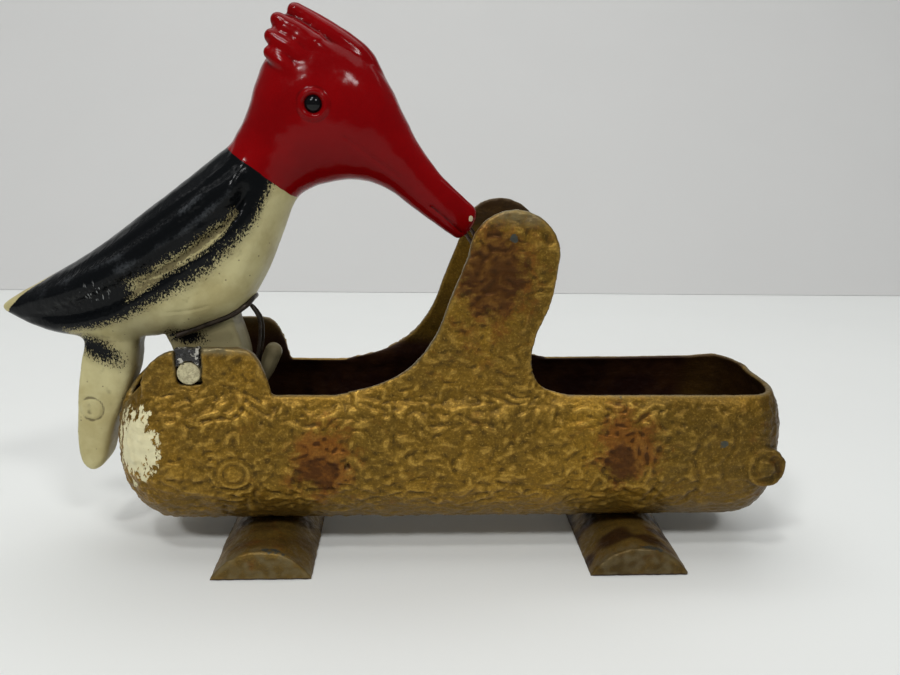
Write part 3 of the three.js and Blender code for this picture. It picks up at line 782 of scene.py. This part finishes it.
# The side outline as pairs, one above and one below, from tail to beak:
# upper x, upper z, lower x, lower z, half width.
STATIONS = [
    (-46.4, 11.6, -46.4, 11.4, 0), (-45.2, 13.2, -44.9, 10.4, 2.6), (-38.0, 17.4, -39.5, 7.7, 5.2),
    (-28.7, 22.6, -30.0, 5.0, 7.6), (-19.3, 28.8, -19.0, 4.8, 9.6), (-10.0, 35.8, -9.0, 5.6, 11.0),
    (-1.0, 42.6, 1.5, 7.6, 11.8), (5.0, 47.2, 9.6, 11.4, 11.8), (8.6, 50.0, 14.6, 18.9, 11.2),
    (10.3, 52.7, 18.8, 28.0, 10.2), (11.8, 55.4, 22.8, 37.2, 9.2), (13.4, 59.2, 26.8, 40.4, 9.2),
    (15.0, 63.8, 30.9, 41.7, 9.7), (17.8, 69.3, 35.4, 42.4, 10.2), (24.5, 73.9, 39.3, 42.1, 10.2),
    (33.0, 73.6, 42.0, 41.3, 9.4), (40.5, 69.5, 45.0, 39.9, 8.2), (45.2, 63.0, 48.0, 37.8, 6.7),
    (48.2, 57.0, 51.5, 35.2, 5.5), (51.8, 50.4, 55.1, 32.7, 4.4), (57.0, 43.6, 58.6, 30.3, 3.5),
    (62.2, 38.7, 61.2, 29.0, 2.9), (65.0, 36.0, 63.6, 30.6, 2.2), (65.3, 33.4, 65.2, 33.2, 0),
]
BELLY_END = 0.45


def skin(u, v):
    """The casting's surface: u from tail to beak, v round it from the back, near side above 0.5."""
    row = spline(STATIONS, u)
    up = np.cos(2 * np.pi * v)
    across = np.sin(2 * np.pi * v)
    fullness = np.where((up < 0) & (u < BELLY_END), 0.8 * np.sin(np.clip(u / BELLY_END, 0, 1) * np.pi), 0)
    power = 2 / (2 + fullness)
    rise = (1 + np.sign(up) * np.abs(up) ** power) / 2
    y = np.maximum(row[..., 4], 0) * np.sign(across) * np.abs(across) ** power
    x = row[..., 2] + (row[..., 0] - row[..., 2]) * rise
    z = row[..., 3] + (row[..., 1] - row[..., 3]) * rise
    return np.stack([x, y, z], -1)


def crest_lobes():
    """The swept-back tufts: paths from tip to root, a radius at each point, and how wide."""
    yield [(24.0, 0, 78.9), (31, 0, 74.3), (38, 0, 69.0), (42.3, 0, 62.8)], (1.9, 2.9, 3.3, 2.6), 1.35
    yield [(22.5, 0, 73.5), (30, 0, 70)], (4.2, 5.0), 1.0
    # each side: tip, middle where there is one, root
    roots = [[(22.4, 3.0, 74.4), (28, 3.4, 71.0)], [(21.2, 4.5, 70.9), (26, 4.8, 68.2)]]
    tufts = [[(20.6, 2.4, 76.6), (25.5, 3.2, 73.6), (31, 3.6, 69.4)],
             [(19.4, 3.9, 73.0), (23.5, 4.7, 70.4), (28, 5.2, 66.4)],
             [(18.9, 5.0, 69.6), (21.8, 5.9, 67.4), (25.5, 6.4, 64)]]
    for side in (-1, 1):
        for path, radii in zip(roots, ((2.5, 3.4), (2.2, 3.0))):
            yield [(x, side * y, z) for x, y, z in path], radii, 1.0
        for path, radii in zip(tufts, ((1.8, 2.4, 2.8), (1.8, 2.3, 2.8), (1.5, 2.0, 2.4))):
            yield [(x, side * y, z) for x, y, z in path], radii, 1.1


def skin_grid(rows, columns):
    """The (u, v) of a grid over the whole skin."""
    u = np.linspace(0, 1, rows)
    v = np.linspace(0, 1, columns, endpoint=False)
    return np.meshgrid(u, v, indexing="ij")


def surface_coordinates(points):
    """The (u, v) of the skin point nearest to each point."""
    grid_u, grid_v = skin_grid(420, 200)
    places = skin(grid_u, grid_v).reshape(-1, 3)
    tree = KDTree(len(places))
    for index, place in enumerate(places):
        tree.insert(place, index)
    tree.balance()
    found = np.array([tree.find(p)[1] for p in points])
    return grid_u.ravel()[found], grid_v.ravel()[found]


# Curves on the wing: for a u, how far round from the belly (0.5) to the back (1).
WING = {
    "first ridge": ((0.203, 0.822), (0.249, 0.834), (0.286, 0.847), (0.314, 0.839), (0.346, 0.828),
                    (0.392, 0.809)),
    "second ridge": ((0.174, 0.780), (0.223, 0.791), (0.264, 0.800), (0.293, 0.808), (0.313, 0.807),
                     (0.344, 0.801)),
    "pale band": ((0.13, 0.714), (0.18, 0.741), (0.23, 0.751), (0.28, 0.768), (0.33, 0.768), (0.36, 0.775)),
    "third feather": ((0.0, 0.69), (0.12, 0.694), (0.154, 0.708), (0.199, 0.727), (0.238, 0.745),
                      (0.304, 0.753), (0.337, 0.757)),
    "third hem": ((0.0, 0.60), (0.06, 0.615), (0.10, 0.645), (0.154, 0.672), (0.186, 0.692), (0.219, 0.714),
                  (0.249, 0.726), (0.307, 0.740), (0.344, 0.733), (0.37, 0.715), (0.42, 0.700)),
    "black hem": ((0.0, 0.685), (0.078, 0.691), (0.108, 0.717), (0.140, 0.733), (0.178, 0.748),
                  (0.204, 0.757), (0.244, 0.766), (0.29, 0.776), (0.33, 0.774), (0.36, 0.76)),
}


def above(name, place):
    """How far above a wing curve the points are, in millimetres round the body."""
    u, around, girth = place
    row = np.array(WING[name])
    return (around - np.interp(u, row[:, 0], row[:, 1])) * girth


def wing_relief(rel, place, wing, breast):
    """Feathers that stand up in ridges, and the breast's soft folds that run with them."""
    x, y, z = rel.T
    height = 0.35 * back_ridge(place, wing)
    for name, tall, width in (("first ridge", 1.7, 2.3), ("second ridge", 1.6, 2.0)):
        reach = above(name, place)
        height += wing * tall * bell(reach, width) - wing * 0.8 * bell(reach + 2.1 * width, 0.55 * width)
    reach = above("third feather", place)
    height += wing * 0.8 * smooth(0.7, -0.3, reach) * smooth(-7.0, -0.8, reach)
    height -= wing * 0.40 * bell(above("pale band", place), 1.2)
    folds = noise(np.stack([x / 9 - z / 14, y / 9, (z * 0.55 - x * 0.9) / 4.4], 1), 66)
    return height + 0.42 * breast * folds


def back_ridge(place, wing):
    return wing * bell((place[1] - 0.885) * place[2], 2.0)


def head_relief(rel, normals):
    """The lid round the eye and the bead's bed, the beak's mouth, and a crease behind it."""
    face = rel[:, [0, 2]]
    eye_gap = np.linalg.norm(np.abs(rel) - np.abs(np.array((EYE[0], 10.1, EYE[2]))), axis=1)
    height = 0.55 * bell(eye_gap - 2.75, 0.5) - 0.6 * smooth(2.4, 1.6, eye_gap)
    side_on = smooth(0.3, 0.7, np.abs(normals[:, 1]))
    mouth = line_distance(face, [(54.6, 36.6), (57.8, 34.0), (61.8, 30.5)])
    crease = line_distance(face, [(35.2, 52.2), (41.5, 47.5), (47.0, 43.4)])
    return height - side_on * (0.38 * bell(mouth, 0.42) + 0.16 * bell(crease, 0.5))


def prop_relief(rel, normals):
    """Casting marks on the tail prop: soft folds, and a ring on the near side."""
    x, y, z = rel.T
    prop = smooth(-13, -17, x) * smooth(4, 1, z)
    height = prop * 0.32 * noise(rel / (2.6, 6, 14), 61) * smooth(0.2, 0.6, np.abs(normals[:, 1]))
    mark = np.linalg.norm(rel[:, [0, 2]] - (-26.6, -12.4), axis=1)
    ring = 0.14 * bell(mark - 2.2, 0.45) - 0.26 * bell(mark - 2.75, 0.4)
    return height + np.where(y < 0, prop * ring, 0)


def black_enamel(rel, place, gap):
    """Above 0 where the bird is black: back, wing and tail, and a third feather apart from them."""
    x, y, z = rel.T
    u, around, girth = place
    streak = 0.7 * noise(np.stack([x / 7, y / 7, z / 1.1], 1), 64)
    hem = above("third hem", place)
    black = np.minimum(above("black hem", place) + streak, 4)
    black = np.maximum(black, np.minimum(0.4 - 3.0 * above("third feather", place), hem + 0.7))
    black = np.maximum(black, 0.9 * hem - 6 * smooth(0.36, 0.335, u))
    # the tail is black to its underside, but for a cream strip along its far edge
    black = np.maximum(black, 8 * smooth(0.155, 0.105, u) - 4)
    black = np.maximum(black, np.minimum(8 * smooth(0.235, 0.165, u) - 4, hem + 0.7))
    over = np.sign(y) * (1 - around) * girth
    strip_edge = np.interp(x, (-45, -28), (-4.2, -1.4))
    strip = smooth(-25, -29, x) * smooth(0, 0.5, over - strip_edge) * smooth(4.4, 3.4, over)
    black = np.where(gap > 1.4, -3.0, black) - 6 * strip
    black = np.where(z < 2.5, -4.0, black)
    # two puffs of black below the wing, on the tail prop and the leg
    for centre, half, turn in (((-24.0, 2.6), (7.0, 2.9), -30), ((-3.0, 6.0), (5.2, 2.2), -8)):
        puff = 2.4 - 3.2 * oval(x, z, centre, half, turn)
        black = np.where(y < -1, np.maximum(black, puff), black)
    return np.clip(black, -4, 4)


def red_enamel(x, z):
    """Above 0 where the bird is red: the head, down to a line that dips towards the throat."""
    line = np.array([(8.0, 49.4), (13.4, 46.2), (16.9, 43.7), (20.5, 40.8), (24.0, 37.8)])
    slope = np.interp(x, line[:, 0], line[:, 1])
    red = np.where(x > 8.0, z - slope, z - 49.4 - (x - 8.0) * 0.65) * 0.78
    red = np.where(x > 24.0, 3.0, red)
    return np.clip(np.where(z < 25, -5, red), -4, 4)


def make_bird():
    rows, columns = 300, 140
    body = skin(*skin_grid(rows, columns)).reshape(-1, 3) + PIVOT
    shells = [(body, grid_faces(rows, columns)), node_shell("bird_casting", cut_above=PIVOT[2] + 11)]
    for path, radii, widen in crest_lobes():
        points, faces = tube(path, radii, widen)
        shells.append((points + PIVOT, faces))
    piece = remeshed("bird_shell", merged_mesh("bird", shells), 0.4)
    edges = get_edges(piece)
    points = relaxed(get_points(piece), edges, 8)
    # rounder still on the limbs, the crest and the corner where the prop leaves the tail
    x, y, z = (points - PIVOT).T
    limb = smooth(-10.5, -16, x) * smooth(5, 2, z)
    crest = smooth(63, 66, z) * smooth(40, 36, x)
    corner = smooth(-34, -28, x) * smooth(-9, -12, x) * smooth(0, 3, z) * smooth(11, 7, z)
    for steps, zone in ((34, limb), (6, crest), (50, corner)):
        points = relaxed(points, edges, steps, zone, shrink=True)
    set_points(piece, points)
    normals = get_normals(piece)
    rel = points - PIVOT
    x, y, z = rel.T
    u, v = surface_coordinates(rel)
    around = np.maximum(v, 1 - v)
    row = spline(STATIONS, u)
    place = (u, around, np.pi * np.hypot(row[:, 0] - row[:, 2], row[:, 1] - row[:, 3]))
    gap = np.linalg.norm(skin(u, v) - rel, axis=1)
    body_share = smooth(1.2, 0.5, gap)
    wing = body_share * smooth(0.06, 0.16, u) * smooth(0.41, 0.34, u)
    breast = body_share * smooth(0.12, 0.2, u) * smooth(0.43, 0.37, u) * smooth(0.74, 0.68, around)
    height = wing_relief(rel, place, wing, breast) + head_relief(rel, normals) + prop_relief(rel, normals)
    height += 0.05 * noise(rel / 2.2, 62) + 0.10 * noise(rel / 7, 63)
    # a hairline crack across the wing
    crack = line_distance(rel[:, [0, 2]], [(-5.7, 12.7), (-1.4, 13.0), (3.9, 14.2)])
    height -= np.where(y < 0, 0.14 * bell(crack, 0.3), 0) * body_share
    points = points + height[:, None] * normals
    set_points(piece, points)
    chip = smooth(1.3, 0.6, oval(x, z, (63.9, 33.9), (0.55, 0.75))) * (y < 0)
    scratch = np.where(y < 0, smooth(1.0, 0.5, oval(x, z, (-21.0, 17.0), (3.6, 2.6), 20)), 0)
    # painted shade: on the far toe, inside the ear, and on the lower belly
    painted_shade = np.where(y > 2, smooth(3, 6, x) * smooth(17, 12, z) * smooth(-13, -9, z), 0)
    painted_shade = np.maximum(painted_shade, 0.75 * smooth(17, 5, z) * smooth(-22, -12, x))
    # grey dust and wear, with a painted highlight, along the feathers' ridges and the back, a little above
    # each crest
    along = 0.45 + 0.55 * smooth(-0.2, 0.5, noise(rel / 7, 67))
    ridge_dust_and_highlight = 1.3 * bell(above("first ridge", place) - 0.7, 1.5)
    ridge_dust_and_highlight = wing * (ridge_dust_and_highlight + 1.2 * bell(above("second ridge", place) - 0.6, 1.3))
    write_attribute(piece, "scratch", scratch * body_share)
    write_attribute(piece, "painted_shade", painted_shade)
    write_attribute(piece, "black", black_enamel(rel, place, gap))
    write_attribute(piece, "red", red_enamel(x, z))
    write_attribute(piece, "chip", chip)
    write_attribute(piece, "ridge_dust_and_highlight", along * (ridge_dust_and_highlight + 0.35 * back_ridge(place, wing)))
    write_hollows(piece, points, edges)
    finish_piece(piece, "bird", ENAMEL, ["bird_casting"])


# ---------------------------------------------------------------- small pieces


def reshaped(node, name, voxel, steps, rough, body, paint, lump=1.2):
    """A CAD node with softened edges and a slightly uneven surface."""
    piece = remeshed(name, merged_mesh(name, [node_shell(node)]), voxel)
    edges = get_edges(piece)
    points = relaxed(get_points(piece), edges, steps)
    set_points(piece, points)
    points = points + (rough * noise(points / lump, 71))[:, None] * get_normals(piece)
    set_points(piece, points)
    write_hollows(piece, points, edges)
    return finish_piece(piece, body, paint, [node])


def make_eye(node):
    """A glossy bead, a little flattened in front."""
    centre = middle(node)
    low, high = corners(node)
    radius = (high[0] - low[0]) / 2
    out = np.sign(centre[1])
    rings, sides = 40, 64
    polar = np.linspace(0.04, math.pi - 0.04, rings)
    turn = np.linspace(0, 2 * math.pi, sides, endpoint=False)
    points = []
    for a in polar:
        depth = math.cos(a) * (0.94 if a < math.pi / 2 else 1.0)
        for b in turn:
            points.append((math.sin(a) * math.cos(b), out * depth, math.sin(a) * math.sin(b)))
    points = np.array(points) * radius * 0.98 + centre + (0, 0.15 * out, 0)
    mesh = merged_mesh(node + "_shell", [(points, grid_faces(rings, sides))])
    work = bmesh.new()
    work.from_mesh(mesh)
    bmesh.ops.recalc_face_normals(work, faces=work.faces)
    work.to_mesh(mesh)
    work.free()
    piece = bpy.data.objects.new(node + "_shell", mesh)
    scene.collection.objects.link(piece)
    write_hollows(piece, get_points(piece), get_edges(piece))
    finish_piece(piece, "bird", BEAD, [node])


def make_stage():
    """A pale floor, and a pale board that leans back behind it."""
    half, edge, rise = 2500, 306, 1000
    floor = [(-half, -half, 0), (half, -half, 0), (half, half, 0), (-half, half, 0)]
    board = [(-half, edge, 0.2), (half, edge, 0.2), (half, edge + rise, rise), (-half, edge + rise, rise)]
    for name, points, paint in (("floor", floor, stage_paint("white card", (0.82, 0.835, 0.81), 0.75)),
                                ("backdrop", board, stage_paint("grey wall", (0.62, 0.62, 0.605), 0.8))):
        mesh = merged_mesh(name, [(points, [(0, 1, 2, 3)])])
        mesh.materials.append(paint)
        piece = bpy.data.objects.new(name, mesh)
        scene.collection.objects.link(piece)


def make_room():
    """Dim light from all round, from a room that looks brighter where it shows past the stage."""
    light, looks = 0.12, 0.55
    world = bpy.data.worlds.new("room")
    scene.world = world
    world.use_nodes = True
    sky = world.node_tree.nodes["Background"]
    sky.inputs["Color"].default_value = (0.93, 0.96, 1.0, 1)
    seen = world.node_tree.nodes.new("ShaderNodeLightPath").outputs["Is Camera Ray"]
    strength = world.node_tree.nodes.new("ShaderNodeMapRange")
    strength.inputs["To Min"].default_value = light
    strength.inputs["To Max"].default_value = looks
    world.node_tree.links.new(seen, strength.inputs["Value"])
    world.node_tree.links.new(strength.outputs["Result"], sky.inputs["Strength"])


make_camera()
make_light("ceiling", (0, 0.28, 1.10), (0, 0.16, 0), (1.3, 1.0), 5.1)
make_light("lamp left", (-0.42, -0.66, 0.80), (0, 0, 0.05), (0.15, 0.12), 3.0)
make_light("lamp right", (0.36, -0.62, 0.74), (0, 0, 0.05), (0.15, 0.12), 2.1)
make_light("lamp middle", (-0.22, -0.45, 1.00), (0, 0, 0.05), (0.14, 0.10), 2.0)
make_light("back strip", (0, 0.22, 0.60), (0, 0.24, 0), (1.4, 0.12), 0.62)
make_stage()
make_room()
scene.view_settings.view_transform = "Standard"

make_log()
make_bird()
for foot in ("left_foot", "right_foot"):
    make_foot(foot)
    reshaped(foot + "_rivet", foot + "_rivet_head", 0.2, 4, 0.05, "log", RIVET)
for end in ("front", "rear"):
    reshaped("axle_keeper_" + end, "axle_filler_" + end, 0.2, 3, 0.30, "log", FILLER, 0.9)
    make_eye("eye_bead_" + end)
reshaped("pivot_axle", "axle_cast", 0.25, 3, 0.06, "bird", CREAM, 0.8)
for needle in ("lower", "upper"):
    reshaped("beak_needle_" + needle, "needle_" + needle, 0.11, 3, 0.012, "bird", PIN)
reshaped("spring_bail", "bail_bar", 0.16, 4, 0.05, "bird", SPRING)
spring = reshaped("return_spring", "hairpin_spring", 0.12, 4, 0.012, None, SPRING)
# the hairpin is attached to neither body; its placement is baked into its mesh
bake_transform(spring)
